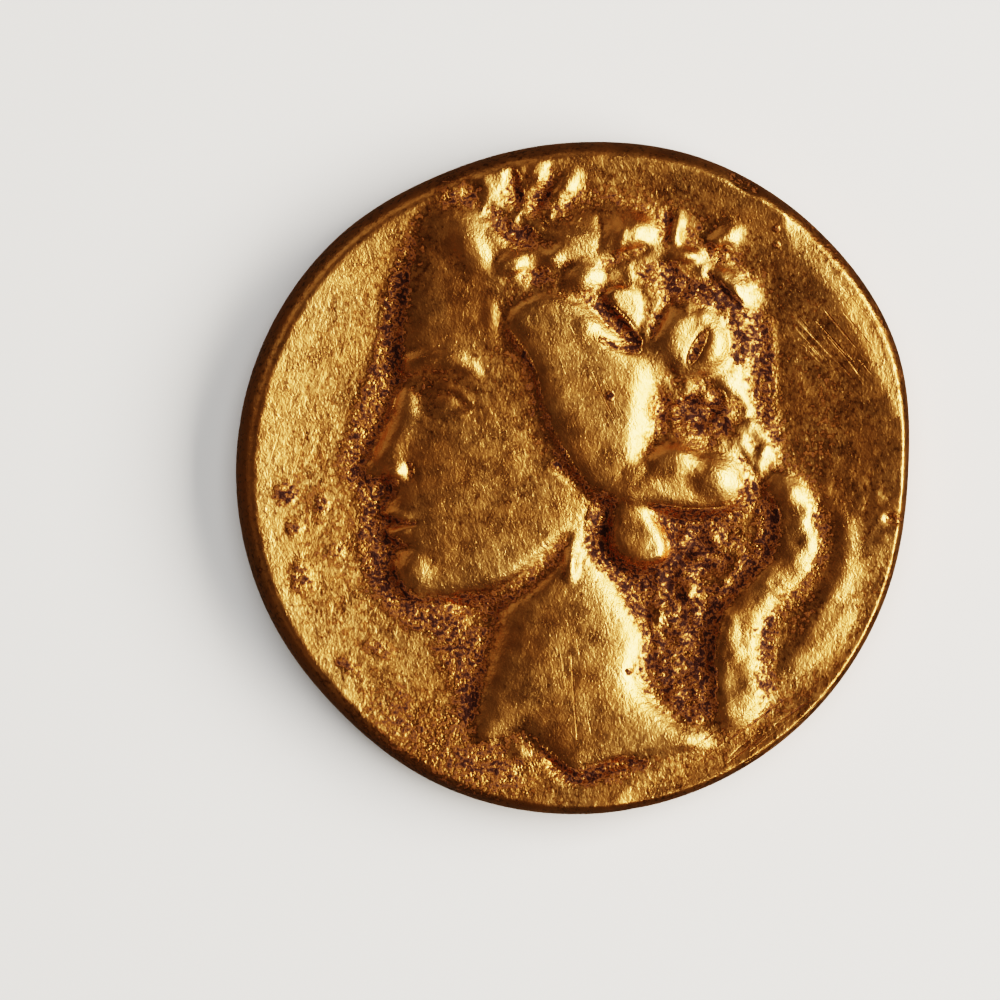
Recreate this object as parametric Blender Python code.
"""A struck gold stater: one round flan, a wreathed head in high relief above, a barley ear below."""
import math

import bmesh
import bpy
import numpy as np

MM = 0.001

# The flan: a hand-made round blank, spread by the blow
FLAN_RADIUS = 9.0 * MM
FIELD_HEIGHT = 1.36 * MM
EQUATOR_HEIGHT = 0.86 * MM
CREST_RISE = 0.54 * MM
CREST_SHARE = 0.94
CREST_SHIFT = 0.028
CREST_TURN = -30
DISH_START_SHARE = 0.15
DISH_POWER = 1.8

# The underside: a shallow dished field inside a worn land
LAND_OUTER_SHARE = 0.88
LAND_INNER_SHARE = 0.76
UNDER_DISH = 0.18 * MM
UNDER_DISH_SHARE = 0.38

# The relief, as heights above the field
NECK_RISE = 0.50 * MM
HEAD_RISE = 0.64 * MM
HAIR_RISE = 0.52 * MM
ROLL_RISE = 0.80 * MM
LOBE_RISE = 0.72 * MM
KNOT_RISE = 0.74 * MM
LOCK_RISE = 0.36 * MM
LEAF_RISE = 0.44 * MM
CURL_RISE = 0.20 * MM
HAIR_SWELL = 0.34 * MM
ROLL_SWELL = 0.16 * MM
FILLET = 0.05 * MM
FOOT_STEP = 0.04 * MM
GROOVE_DEPTH = 0.30 * MM
BROW_RISE = 0.11 * MM
EAR_RISE = 0.36 * MM
WORN_TOP = 0.80 * MM
WORN_SHARE = 0.5

# Places on the faces are in hundredths of the flan's radius from its centre
STEP = FLAN_RADIUS / 100
HEAD_LENGTH = 117
FACE_FRONT = -52
CHIN_LEVEL = -36
FACE_THIRD = 1 / 3.5
LOCK_HALF_WIDTH = 8.4
KERNEL_LENGTH = 15
KERNEL_HALF_WIDTH = 5.6
EAR_ROWS = 7
EAR_PITCH = 12
EAR_TAPER = 0.4

# The flan's outline: its radius every 22.5 degrees from the right, turning anticlockwise
OUTLINE = (99.9, 104.0, 103.6, 102.3, 99.3, 97.9, 99.5, 99.9,
           99.7, 98.9, 98.0, 99.6, 100.2, 100.4, 100.3, 99.9)

# The working grid of the two dies and the mesh of the coin
EXTENT = 108
SPACING = 0.5
DIE_SOFTNESS = 2.1
WEAR_SOFTNESS = 1.1
MESH_CUTS = 160
EDGE_SHARE = 0.88
KEPT_SHARE = 0.0915
FLAT_SNAP = 0.004 * MM
COORDINATE_ROUNDING = 10
MERGE_REACH = 0.001 * MM


def spline(points, closed=False, steps=8):
    """A smooth curve through a few points."""
    p = np.array(points, float)
    if closed:
        p = np.vstack([p[-1], p, p[0], p[1]])
    else:
        p = np.vstack([2 * p[0] - p[1], p, 2 * p[-1] - p[-2]])
    t = np.linspace(0, 1, steps, endpoint=False)[:, None]
    parts = []
    for a, b, c, d in zip(p, p[1:], p[2:], p[3:]):
        bend = (2 * a - 5 * b + 4 * c - d) * t**2 + (3 * b - a - 3 * c + d) * t**3
        parts.append(0.5 * (2 * b + (c - a) * t + bend))
    curve = np.vstack(parts)
    return curve if closed else np.vstack([curve, p[-2]])


def ease(t):
    t = np.clip(t, 0, 1)
    return t * t * (3 - 2 * t)


def blur(field, width):
    """A rounding of the whole surface; width is in samples."""
    reach = max(1, int(3 * width))
    kernel = np.exp(-0.5 * (np.arange(-reach, reach + 1) / width) ** 2)
    kernel /= kernel.sum()
    for axis in (0, 1):
        pads = [(reach, reach) if side == axis else (0, 0) for side in (0, 1)]
        padded = np.pad(field, pads, "edge")
        total = np.zeros_like(field)
        for i, share in enumerate(kernel):
            window = [slice(None), slice(None)]
            window[axis] = slice(i, i + field.shape[axis])
            total += share * padded[tuple(window)]
        field = total
    return field


def soft_max(a, b, fillet):
    """The higher of two surfaces, with a fillet between them."""
    h = np.clip(0.5 + 0.5 * (b - a) / fillet, 0, 1)
    return a + (b - a) * h + fillet * h * (1 - h)


def outline_radius(angle):
    """The flan's radius at an angle, in hundredths of the mean radius."""
    values = np.array(OUTLINE)
    count = len(values)
    place = np.mod(angle, 2 * np.pi) / (2 * np.pi) * count
    index = np.floor(place).astype(int)
    t = place - index
    a, b, c, d = (values[(index + k) % count] for k in (-1, 0, 1, 2))
    bend = (2 * a - 5 * b + 4 * c - d) * t**2 + (3 * b - a - 3 * c + d) * t**3
    return 0.5 * (2 * b + (c - a) * t + bend)


def along_path(x, y, path):
    """Distance from a path, and the share of its length at the nearest point."""
    best = np.full(x.shape, 1e9)
    share = np.zeros(x.shape)
    steps = np.diff(path, axis=0)
    lengths = np.maximum(np.hypot(steps[:, 0], steps[:, 1]), 1e-9)
    start = np.concatenate([[0], np.cumsum(lengths)])
    for (ax, ay), (sx, sy), length, before in zip(path, steps, lengths, start):
        k = np.clip(((x - ax) * sx + (y - ay) * sy) / length**2, 0, 1)
        gap = (x - ax - k * sx) ** 2 + (y - ay - k * sy) ** 2
        share = np.where(gap < best, (before + k * length) / start[-1], share)
        best = np.minimum(best, gap)
    return np.sqrt(best), share


class Relief:
    """A height field over a square grid of places, raised and carved stroke by stroke."""

    def __init__(self):
        line = np.arange(-EXTENT, EXTENT + SPACING / 2, SPACING)
        self.x, self.y = np.meshgrid(line, line)
        self.z = np.zeros_like(self.x)
        self.r = np.hypot(self.x, self.y) / outline_radius(np.arctan2(self.y, self.x))

    def near(self, path, reach):
        low = ((path.min(0) - reach + EXTENT) / SPACING).astype(int)
        high = ((path.max(0) + reach + EXTENT) / SPACING).astype(int) + 2
        low = np.maximum(low, 0)
        return slice(low[1], high[1]), slice(low[0], high[0])

    def body(self, points, rise, shoulder, fillet=FILLET, base=0.0, power=2.0, lean=0.0, steps=8):
        """A cushion over a closed outline, domed across its shoulder; lean makes it rise to its right."""
        loop = spline(points, closed=True, steps=steps)
        at = self.near(loop, 1)
        x, y, z = self.x[at], self.y[at], self.z[at]
        within = np.zeros(x.shape, bool)
        total = np.zeros(x.shape)
        for (ax, ay), (bx, by) in zip(loop, np.roll(loop, -1, axis=0)):
            if ay != by:
                within ^= ((ay > y) != (by > y)) & (x < (bx - ax) * (y - ay) / (by - ay) + ax)
            length = math.hypot(bx - ax, by - ay)
            if length < 1e-9:
                continue
            along = ((ax - x) * (bx - ax) + (ay - y) * (by - ay)) / length
            off = np.maximum((ax - x) ** 2 + (ay - y) ** 2 - along**2, 1e-4)
            end = along + length
            total += (end / np.sqrt(off + end**2) - along / np.sqrt(off + along**2)) / off
        depth = 1 / np.sqrt(np.maximum(total / 2, 1e-9))
        t = np.clip(depth / shoulder, 0, 1)
        dome = (1 - (1 - t) ** power) ** (1 / power)
        top = base + rise * dome * (1 + (x - loop[:, 0].mean()) * lean)
        self.z[at] = np.where(within, soft_max(z, top, fillet), z)

    def stroke(self, points, width, height, taper=(0.3, 0.3), power=2.0):
        """A ridge of this half width along a curve, or a groove where the height is below nought."""
        path = spline(points)
        at = self.near(path, width)
        d, s = along_path(self.x[at], self.y[at], path)
        full = np.ones_like(s)
        for share, from_end in zip(taper, (s, 1 - s)):
            full = np.minimum(full, np.sqrt(1 - (1 - np.clip(from_end / share, 0, 1)) ** 2))
        full = np.maximum(full, 0.12)
        t = np.clip(d / (width * full), 0, 1)
        self.z[at] += height * full * (1 - t**power) ** 2

    def wave(self, points, left, right, height, taper=(0.2, 0.2)):
        """A ridge with a flank of its own width on each side, seen looking along the curve."""
        path = spline(points)
        at = self.near(path, max(left, right))
        d, s = along_path(self.x[at], self.y[at], path)
        count = len(path) - 1
        index = np.clip((s * count).astype(int), 0, count - 1)
        heading = np.diff(path, axis=0)[index]
        aside_x, aside_y = self.x[at] - path[index][..., 0], self.y[at] - path[index][..., 1]
        across = heading[..., 0] * aside_y - heading[..., 1] * aside_x
        full = np.ones_like(s)
        for share, from_end in zip(taper, (s, 1 - s)):
            full = np.minimum(full, np.sqrt(1 - (1 - np.clip(from_end / share, 0, 1)) ** 2))
        full = np.maximum(full, 0.12)
        blend = ease(0.5 + across / np.hypot(heading[..., 0], heading[..., 1]) / 2)
        t = np.clip(d / ((right + (left - right) * blend) * full), 0, 1)
        self.z[at] += height * full * (1 - t**2) ** 1.6

    def mound(self, centre, radii, height, turn=0):
        """A soft oval swelling, or a hollow where the height is below nought."""
        at = self.near(np.array([centre], float), max(radii))
        c, s = math.cos(math.radians(turn)), math.sin(math.radians(turn))
        dx, dy = self.x[at] - centre[0], self.y[at] - centre[1]
        t = np.clip(np.hypot((dx * c + dy * s) / radii[0], (dy * c - dx * s) / radii[1]), 0, 1)
        self.z[at] += height * (1 - t**2) ** 2

    def leaf(self, root, tip, width, height, bend=0.0, crease=0.14):
        """A pointed leaf, fullest before its middle, with a soft crease down it."""
        root, tip = np.array(root, float), np.array(tip, float)
        along = tip - root
        side = np.array([-along[1], along[0]]) / np.hypot(*along)
        path = spline([root, (root + tip) / 2 + side * bend, tip])
        at = self.near(path, width * 1.1)
        d, s = along_path(self.x[at], self.y[at], path)
        half = width * np.sin(np.pi * np.clip(s, 0.02, 0.99) ** 0.8) ** 0.7 + 0.05
        t = np.clip(d / half, 0, 1)
        dome = (1 - t**2.4) ** 1.5 * (1 - crease * np.exp(-((d / (0.3 * width)) ** 2)))
        self.z[at] += height * (0.65 + 0.35 * s) * np.clip(half / width * 2, 0, 1) * dome


def on_face(points):
    """Places on the head, from shares of its length: back from the face's front, up from the chin."""
    return [(FACE_FRONT + a * HEAD_LENGTH, CHIN_LEVEL + b * HEAD_LENGTH) for a, b in points]


def lay_neck(die):
    die.body([(-19, -30), (-24, -50), (-28.5, -66), (-28, -79), (-15, -77.5), (-2, -86.5), (10, -85.5),
              (25, -82.5), (41, -79), (32, -73.5), (24, -66), (20, -58), (22, -50), (20.5, -42), (15.5, -33),
              (8, -20), (0, -5), (-12, -8)],
             NECK_RISE, 15, power=2.0)


def lay_head(die):
    """The head in profile: hairline, brow and nose each a third apart."""
    brow = 2 * FACE_THIRD
    forehead = [(0.12, 1.0), (0.04, 0.88), (0.012, 0.76), (0.0, 0.66), (0.0, brow + 0.01), (0.0, 0.525)]
    nose = [(-0.035, 0.43), (-0.083, 0.335), (-0.088, 0.312), (-0.066, 0.292), (-0.022, FACE_THIRD)]
    lips = [(-0.020, 0.252), (-0.038, 0.222), (-0.034, 0.203), (-0.016, 0.190), (-0.030, 0.174),
            (-0.026, 0.152)]
    chin = [(-0.004, 0.128), (-0.008, 0.10), (-0.014, 0.062), (0.004, 0.018), (0.045, -0.006),
            (0.12, -0.006)]
    back = [(-26, -38), (-12, -36), (2, -26), (12, -10), (20, 15), (20, 50), (0, 76)]
    die.body(on_face(forehead + nose + lips + chin) + back, HEAD_RISE, 24, power=2.2, steps=5)


def lay_hair(die):
    """The cap of hair from the forehead round to the nape."""
    die.body([(-37, 60), (-41, 70), (-40, 78), (-32, 81.5), (-20, 79), (-4, 79), (12, 81), (25, 77),
              (36, 70), (46, 62), (52, 51), (54, 38), (53, 26), (56, 14), (56, 2), (49, -9), (36, -12),
              (22, -12), (6, -8), (-6, 8), (-14, 30), (-22, 47), (-30, 54)],
             HAIR_RISE, 12, fillet=1.2 * FILLET, base=0.5 * FOOT_STEP, power=1.6, lean=-0.008)


def lay_roll(die):
    """The heavy smooth roll that covers the ear and turns to the nape, and the lobe under it."""
    die.body([(-21, 44), (-17, 52), (-6, 56), (6, 52), (15, 43), (22.5, 36), (25.5, 26), (25, 14), (23.5, 7),
              (30, 6.5), (39, 5), (48, 2.5), (52, -4), (46, -10.5), (34, -11.5), (24, -10.5), (13, -9.5),
              (4, -6), (-4, 4), (-10, 18), (-14, 32)],
             ROLL_RISE, 11, fillet=1.6 * FILLET, base=FOOT_STEP, power=2.3, lean=-0.004)
    # the turned end, and the two knuckles of hair that stand on it
    die.body([(14, 3), (22, 8), (30, 9), (40, 8), (49, 4), (52, -4), (46, -10), (34, -11.5), (24, -10.5),
              (14, -9.5), (9, -4)],
             0.80 * ROLL_RISE, 5, fillet=1.2 * FILLET, base=0.5 * FOOT_STEP, lean=-0.015)
    die.body([(26, 7), (30, 10.5), (36, 10.5), (40.5, 5), (36, -1.5), (29, 0)],
             1.02 * ROLL_RISE, 5, fillet=0.8 * FILLET, base=FOOT_STEP, lean=-0.045)
    die.body([(40.5, 3), (45, 6), (50.5, 3.5), (52, -3), (47, -5.5), (42, -2.5)],
             0.92 * ROLL_RISE, 4.5, fillet=0.8 * FILLET, base=FOOT_STEP, lean=-0.055)
    # the lobe
    die.body([(10, -12), (14, -8), (20, -8), (25, -12), (29.5, -19), (27.5, -25.5), (20, -28), (12.5, -24.5),
              (9, -18)], LOBE_RISE, 8.5, fillet=0.8 * FILLET, lean=-0.010)


def lay_knot(die):
    die.body([(24.5, 43), (28, 50), (35, 53), (42.5, 50.5), (47.5, 43), (47, 35), (41, 29.5), (33, 29),
              (27, 34)], KNOT_RISE, 7, fillet=FILLET, base=FOOT_STEP, lean=-0.022)


def lay_locks(die):
    """One broad lock falling from the nape in an S, steep on its left, and two fainter ones beside it."""
    die.wave([(59, -1), (65.5, -5), (68, -12), (65, -22), (56.5, -33), (48, -43), (43.5, -53),
              (43, -63), (46, -74)], 1.5 * LOCK_HALF_WIDTH, 0.6 * LOCK_HALF_WIDTH, LOCK_RISE, (0.45, 0.12))
    die.mound((63, -3), (6.5, 8), 0.5 * LOCK_RISE, 30)
    die.wave([(80, -9), (83.5, -18), (81, -28), (73, -39), (64, -50)],
             0.8 * LOCK_HALF_WIDTH, 0.6 * LOCK_HALF_WIDTH, 0.60 * LOCK_RISE, (0.3, 0.6))
    die.wave([(88, -34), (80, -44), (72, -51), (64, -59)],
             0.8 * LOCK_HALF_WIDTH, 0.6 * LOCK_HALF_WIDTH, 0.36 * LOCK_RISE, (0.5, 0.5))


def carve_eye(die):
    size = HEAD_LENGTH
    die.mound(on_face([(0.105, 0.515)])[0], (0.12 * size, 0.075 * size), -1.7 * BROW_RISE, -12)
    die.mound(on_face([(0.125, 0.498)])[0], (0.056 * size, 0.036 * size), 1.35 * BROW_RISE, -8)
    die.stroke(on_face([(0.066, 0.497), (0.10, 0.529), (0.145, 0.531), (0.197, 0.487)]),
               0.017 * size, 0.75 * BROW_RISE)
    die.stroke(on_face([(0.07, 0.488), (0.115, 0.466), (0.16, 0.464), (0.195, 0.480)]),
               0.015 * size, 0.55 * BROW_RISE)
    die.stroke(on_face([(0.01, 0.572), (0.06, 0.598), (0.14, 0.60), (0.22, 0.565)]),
               0.036 * size, BROW_RISE, (0.2, 0.5))


def carve_nose_and_mouth(die):
    size = HEAD_LENGTH
    die.stroke(on_face([(0.03, 0.53), (0.0, 0.42), (-0.04, 0.335)]),
               0.055 * size, 0.8 * BROW_RISE, (0.3, 0.2))
    die.mound(on_face([(-0.006, 0.318)])[0], (0.036 * size, 0.030 * size), 1.45 * BROW_RISE, 20)
    die.mound(on_face([(-0.036, 0.296)])[0], (0.017 * size, 0.011 * size), -1.1 * BROW_RISE, 10)
    die.stroke(on_face([(0.026, 0.348), (0.038, 0.32), (0.032, 0.292)]), 0.014 * size, -0.65 * BROW_RISE)
    die.mound(on_face([(0.20, 0.36)])[0], (0.17 * size, 0.17 * size), 0.55 * BROW_RISE)
    die.stroke(on_face([(-0.04, 0.214), (0.0, 0.212), (0.045, 0.195)]),
               0.019 * size, 0.8 * BROW_RISE, (0.1, 0.5))
    die.stroke(on_face([(-0.032, 0.165), (0.0, 0.165), (0.035, 0.178)]),
               0.019 * size, 0.8 * BROW_RISE, (0.1, 0.5))
    die.stroke(on_face([(-0.03, 0.190), (0.01, 0.190), (0.058, 0.188)]),
               0.011 * size, -1.1 * BROW_RISE, (0.05, 0.4))
    die.mound(on_face([(0.035, 0.07)])[0], (0.07 * size, 0.06 * size), 0.9 * BROW_RISE)
    die.mound(on_face([(0.02, 0.128)])[0], (0.04 * size, 0.018 * size), -0.65 * BROW_RISE)
    die.stroke(on_face([(0.13, -0.02), (0.24, 0.0), (0.35, 0.06), (0.44, 0.17)]),
               0.05 * size, -1.55 * BROW_RISE, (0.2, 0.5))


def carve_hair(die):
    """Waves, bulges and hollows where the worn hair is parted by the wreath."""
    die.stroke([(-37, 80), (-34, 73), (-29, 64), (-20, 57)], 7.5, 0.34 * HAIR_SWELL, (0.3, 0.4))
    die.stroke([(-25.5, 80), (-20, 74), (-11, 69.5), (-3, 69)], 4.5, -0.7 * GROOVE_DEPTH, (0.3, 0.4))
    die.mound((-16, 71), (8, 5.5), -0.35 * HAIR_SWELL, -30)
    die.mound((-18, 62.5), (6, 4.5), 0.7 * HAIR_SWELL, 10)
    die.mound((-10.5, 59), (6, 4), -0.45 * HAIR_SWELL)
    die.mound((-1, 69), (13, 9), 0.35 * HAIR_SWELL, 10)
    die.mound((16.5, 72), (10.5, 7.5), 0.95 * HAIR_SWELL, 25)
    for shift in (-4, 0, 4):
        die.stroke([(11 + shift, 78), (13 + shift, 72), (11 + shift, 66)], 1.6, -0.12 * HAIR_SWELL)
    die.mound((3, 58.5), (8.5, 6), 0.7 * HAIR_SWELL, 30)
    die.stroke([(8, 61), (13.5, 64.5), (23, 68)], 2.8, -0.4 * GROOVE_DEPTH)
    die.mound((30, 59), (14, 7), -0.65 * HAIR_SWELL, -20)
    die.mound((39, 19), (16, 10), -0.9 * HAIR_SWELL, -8)
    die.mound((26, 20), (4, 9), -0.5 * HAIR_SWELL)
    die.mound((-30, 67), (6, 10), 0.4 * HAIR_SWELL, 30)
    die.mound((-6, 64), (5, 3), 0.3 * HAIR_SWELL, 20)
    die.mound((-24, 47.5), (3.6, 7), 0.2 * HAIR_SWELL, 8)


def carve_roll(die):
    """The fold where the roll turns to the nape, the crease over the lobe and a bump at the temple."""
    die.stroke([(23, 5), (20, 0), (17, -6)], 2.4, -0.3 * GROOVE_DEPTH)
    die.stroke([(8, -16), (13, -9.5), (23, -9.5)], 2, -0.4 * GROOVE_DEPTH)
    die.mound((4, 44), (5, 4), 0.8 * ROLL_SWELL, 30)


def carve_knot(die):
    """The slit between the knot's two lobes, the crease at its left and the loose curls at its right."""
    die.mound((42, 39), (5, 8.5), 0.35 * CURL_RISE, -5)
    die.stroke([(40.5, 45), (37.5, 39.5), (34, 32.5)], 2.2, -0.28 * GROOVE_DEPTH, (0.5, 0.5))
    die.stroke([(22.5, 38), (25, 47), (30, 54.5)], 2.4, -0.4 * GROOVE_DEPTH)
    die.stroke([(49.5, 50), (52.5, 42), (51.5, 33)], 4, 0.3 * CURL_RISE)
    die.stroke([(51.5, 17), (56, 13), (58, 6), (55.5, 0)], 4.5, 0.55 * CURL_RISE)


def carve_wreath(die):
    """Worn leaves: a fan of three at the front, three behind, and two on the hair over the knot."""
    leaves = (
        ((-24.5, 85.5), (6.5, 9.5), 0.62, 12), ((-11, 88), (5.6, 9), 0.60, -4),
        ((-3.5, 83.5), (4.6, 9.5), 0.62, -36), ((31, 73), (3.6, 7), 0.55, -6),
        ((44.5, 70.5), (8.2, 5.4), 0.75, 18), ((33.5, 65.5), (7.5, 3.4), 0.45, 8),
        ((49, 55.5), (11, 6.5), 0.60, -44),
    )
    for centre, radii, share, turn in leaves:
        die.mound(centre, radii, share * LEAF_RISE, turn)
    die.body([(9.5, 54), (16, 57), (22.5, 52), (23, 42), (15, 46)], 1.75 * LEAF_RISE, 4,
             fillet=0.6 * FILLET, base=1.5 * FOOT_STEP, lean=-0.048)
    die.stroke([(6.5, 52), (12, 45.5), (20.5, 39)], 2, -0.6 * GROOVE_DEPTH)
    die.stroke([(27, 69), (28, 74), (28.5, 79)], 2.4, -0.5 * GROOVE_DEPTH)
    die.stroke([(-17, 92), (-17.5, 86), (-16, 79)], 2.6, -0.6 * GROOVE_DEPTH)
    die.stroke([(-5.5, 92), (-8, 86), (-11, 79)], 2.6, -0.6 * GROOVE_DEPTH)
    die.stroke([(39, 61), (45, 54.5), (52, 47)], 2.2, -0.5 * GROOVE_DEPTH)


def carve_curls(die):
    """Small slanting curls down the nape, eaten by soil until only some of them stand."""
    curls = ((33.5, -20, 80, 1.0), (43.5, -18, 60, 0.6), (50, -24, 50, 0.4), (27, -30, 100, 0.4),
             (36, -34, 70, 0.8), (45, -33, 55, 0.4), (25.5, -44, 60, 0.6), (34, -48, 80, 0.4),
             (28.5, -55, 40, 0.5), (37, -60, 70, 0.3), (31.5, -65, 30, 0.5), (39, -71, 40, 0.3))
    for x, y, turn, share in curls:
        arm = np.array([math.cos(math.radians(turn)), math.sin(math.radians(turn))]) * 3.2
        bow = np.array([-arm[1], arm[0]]) * 0.35
        centre = np.array([x, y])
        die.stroke([centre - arm, centre + bow, centre + arm], 3.4, share * CURL_RISE, (0.6, 0.6))


def carve_cut_of_neck(die):
    """The waved edge under the neck, the knob at its front and the drop at the ear."""
    die.mound((-15.5, -80.5), (7, 4.5), CURL_RISE, -25)
    die.mound((-8, -82), (5, 2.6), 0.7 * CURL_RISE, -50)
    die.stroke([(-10, -79.5), (-5, -85.5), (1, -89.5), (8, -87), (15, -84.5), (24, -86)],
               2.4, -0.87 * GROOVE_DEPTH, (0.2, 0.3))
    die.stroke([(-6, 4.5), (-1, 0.5), (3, -3)], 2.4, -0.25 * GROOVE_DEPTH)
    die.mound((-0.5, -26), (3.2, 7), 0.85 * CURL_RISE, -4)


def crest_share(angle):
    """How far out the rim's crest lies: nearer the edge on one side, as the blow fell a little aside."""
    return CREST_SHARE + CREST_SHIFT * np.cos(angle - math.radians(CREST_TURN))


def dished_blank(die):
    """The upper face of the blank flan: a field that rises to a crest near the edge."""
    crest = crest_share(np.arctan2(die.y, die.x))
    rise = np.clip((die.r - DISH_START_SHARE) / (crest - DISH_START_SHARE), 0, 1) ** DISH_POWER
    return FIELD_HEIGHT + CREST_RISE * rise


def obverse_heights():
    """The upper face as struck and worn, over the whole grid, without the roll of the edge."""
    die = Relief()
    for lay in (lay_neck, lay_head, lay_hair, lay_roll, lay_knot, lay_locks):
        lay(die)
    die.z = blur(die.z, DIE_SOFTNESS / SPACING)
    for carve in (carve_eye, carve_nose_and_mouth, carve_hair, carve_roll, carve_knot, carve_wreath,
                  carve_curls, carve_cut_of_neck):
        carve(die)
    worn = np.where(die.z > WORN_TOP, WORN_TOP + (die.z - WORN_TOP) * WORN_SHARE, die.z)
    worn = blur(worn, WEAR_SOFTNESS / SPACING)
    fades = ease((0.99 - die.r) / 0.07) * (1 - 0.45 * ease((die.r - 0.5) / 0.5))
    return dished_blank(die) + worn * fades


def carve_barley(die):
    """An ear of barley: three rows of kernels that taper to the tip, awns, a stem and two blades."""
    rise = EAR_PITCH * (EAR_ROWS - 1) / 2
    for row in range(EAR_ROWS):
        level = row * EAR_PITCH - rise
        size = 1 - EAR_TAPER * row / EAR_ROWS
        half = size * KERNEL_LENGTH / 2
        die.leaf((0, -level + half), (0, -level - half), size * KERNEL_HALF_WIDTH, EAR_RISE, crease=0)
        for side in (-1, 1):
            foot = (side * 5 * size, -level + half)
            tip = (side * 13 * size, -level - half)
            die.leaf(foot, tip, 0.85 * size * KERNEL_HALF_WIDTH, EAR_RISE, side * 0.8, crease=0)
            die.stroke([tip, (tip[0] + side * 5, tip[1] - 0.8 * KERNEL_LENGTH)], 1.6, 0.35 * EAR_RISE)
    foot = rise + KERNEL_LENGTH / 2
    die.stroke([(0, foot - 3), (-1, foot + 7), (-3, foot + 15)], 2.6, 0.7 * EAR_RISE)
    for side in (-1, 1):
        tip = (side * 30, foot - 22)
        die.leaf((-1, foot + 8), tip, 4, 0.7 * EAR_RISE, side * 6)


def reverse_heights():
    """The lower face, as heights above the table: a worn land round a shallow field and the ear."""
    die = Relief()
    carve_barley(die)
    worn = blur(die.z, WEAR_SOFTNESS / SPACING)
    field = UNDER_DISH * ease((LAND_INNER_SHARE - die.r) / UNDER_DISH_SHARE)
    return np.maximum(field - worn, 0)


def sample(field, x, y):
    """The height at a place between the grid's points."""
    gx = np.clip((x + EXTENT) / SPACING, 0, field.shape[1] - 1.001)
    gy = np.clip((y + EXTENT) / SPACING, 0, field.shape[0] - 1.001)
    i, j = gx.astype(int), gy.astype(int)
    u, v = gx - i, gy - j
    low = field[j, i] * (1 - u) + field[j, i + 1] * u
    high = field[j + 1, i] * (1 - u) + field[j + 1, i + 1] * u
    return low * (1 - v) + high * v


def on_disc(square):
    """Rings of a square sheet laid as rings of a disc: share of the way out, and the angle."""
    a, b = square[:, 0], square[:, 1]
    ring = np.maximum(np.abs(a), np.abs(b))
    wide = np.abs(a) >= np.abs(b)
    safe_a, safe_b = np.where(a == 0, 1, a), np.where(b == 0, 1, b)
    angle = np.where(wide, np.pi / 4 * b / safe_a, np.pi / 2 - np.pi / 4 * a / safe_b)
    return ring, np.where(np.where(wide, a, b) < 0, angle + np.pi, angle)


def land_share(angle):
    """How far out the underside's worn land reaches, all round."""
    return np.full_like(angle, LAND_OUTER_SHARE)


def face_sheet(builder, field, roll_start, upper):
    """One face and its half of the rolled edge, from a square sheet of quads."""
    made = bmesh.ops.create_grid(builder, x_segments=MESH_CUTS, y_segments=MESH_CUTS, size=1)
    corners = made["verts"]
    ring, angle = on_disc(np.array([corner.co[:] for corner in corners]))
    roll = np.clip((ring - EDGE_SHARE) / (1 - EDGE_SHARE), 0, 1) * np.pi / 2
    crest = roll_start(angle)
    share = np.where(ring < EDGE_SHARE, ring / EDGE_SHARE * crest, crest + (1 - crest) * np.sin(roll))
    reach = share * outline_radius(angle)
    x, y = reach * np.cos(angle), reach * np.sin(angle)
    face = sample(field, x, y)
    z = EQUATOR_HEIGHT + (face - EQUATOR_HEIGHT) * np.cos(roll)
    z = np.where(ring > 1 - 1e-6, EQUATOR_HEIGHT, z)
    places = np.round(np.column_stack([x * STEP, y * STEP, z]), COORDINATE_ROUNDING)
    for corner, place in zip(corners, places):
        corner.co = place
    faces = list({face for corner in corners for face in corner.link_faces})
    if not upper:
        bmesh.ops.reverse_faces(builder, faces=faces)


def gold():
    material = bpy.data.materials.new("worn_gold")
    material.use_nodes = True
    shader = material.node_tree.nodes["Principled BSDF"]
    shader.inputs["Base Color"].default_value = (0.83, 0.56, 0.20, 1)
    shader.inputs["Metallic"].default_value = 1
    shader.inputs["Roughness"].default_value = 0.38
    return material


def strike_coin():
    builder = bmesh.new()
    face_sheet(builder, obverse_heights(), crest_share, upper=True)
    face_sheet(builder, reverse_heights(), land_share, upper=False)
    bmesh.ops.remove_doubles(builder, verts=builder.verts[:], dist=MERGE_REACH)
    mesh = bpy.data.meshes.new("coin")
    builder.to_mesh(mesh)
    builder.free()
    coin = bpy.data.objects.new("coin", mesh)
    collection = bpy.data.collections.new("stater_coin")
    bpy.context.scene.collection.children.link(collection)
    collection.objects.link(coin)
    thinned = coin.modifiers.new("fewer_faces", "DECIMATE")
    thinned.ratio = KEPT_SHARE
    bpy.context.view_layer.update()
    simple = bpy.data.meshes.new_from_object(coin.evaluated_get(bpy.context.evaluated_depsgraph_get()))
    coin.modifiers.clear()
    coin.data = simple
    bpy.data.meshes.remove(mesh)
    simple.name = "coin"
    return coin


def settle(coin):
    """Lays the worn flats on the table, centres the coin and shades it smooth."""
    mesh = coin.data
    places = np.empty(len(mesh.vertices) * 3)
    mesh.vertices.foreach_get("co", places)
    places = places.reshape(-1, 3)
    places[places[:, 2] < FLAT_SNAP, 2] = 0
    places[:, :2] -= (places[:, :2].min(0) + places[:, :2].max(0)) / 2
    mesh.vertices.foreach_set("co", places.ravel())
    mesh.shade_smooth()
    mesh.materials.clear()
    mesh.materials.append(gold())
    mesh.update()


for stray in list(bpy.data.objects):
    bpy.data.objects.remove(stray, do_unlink=True)
settle(strike_coin())
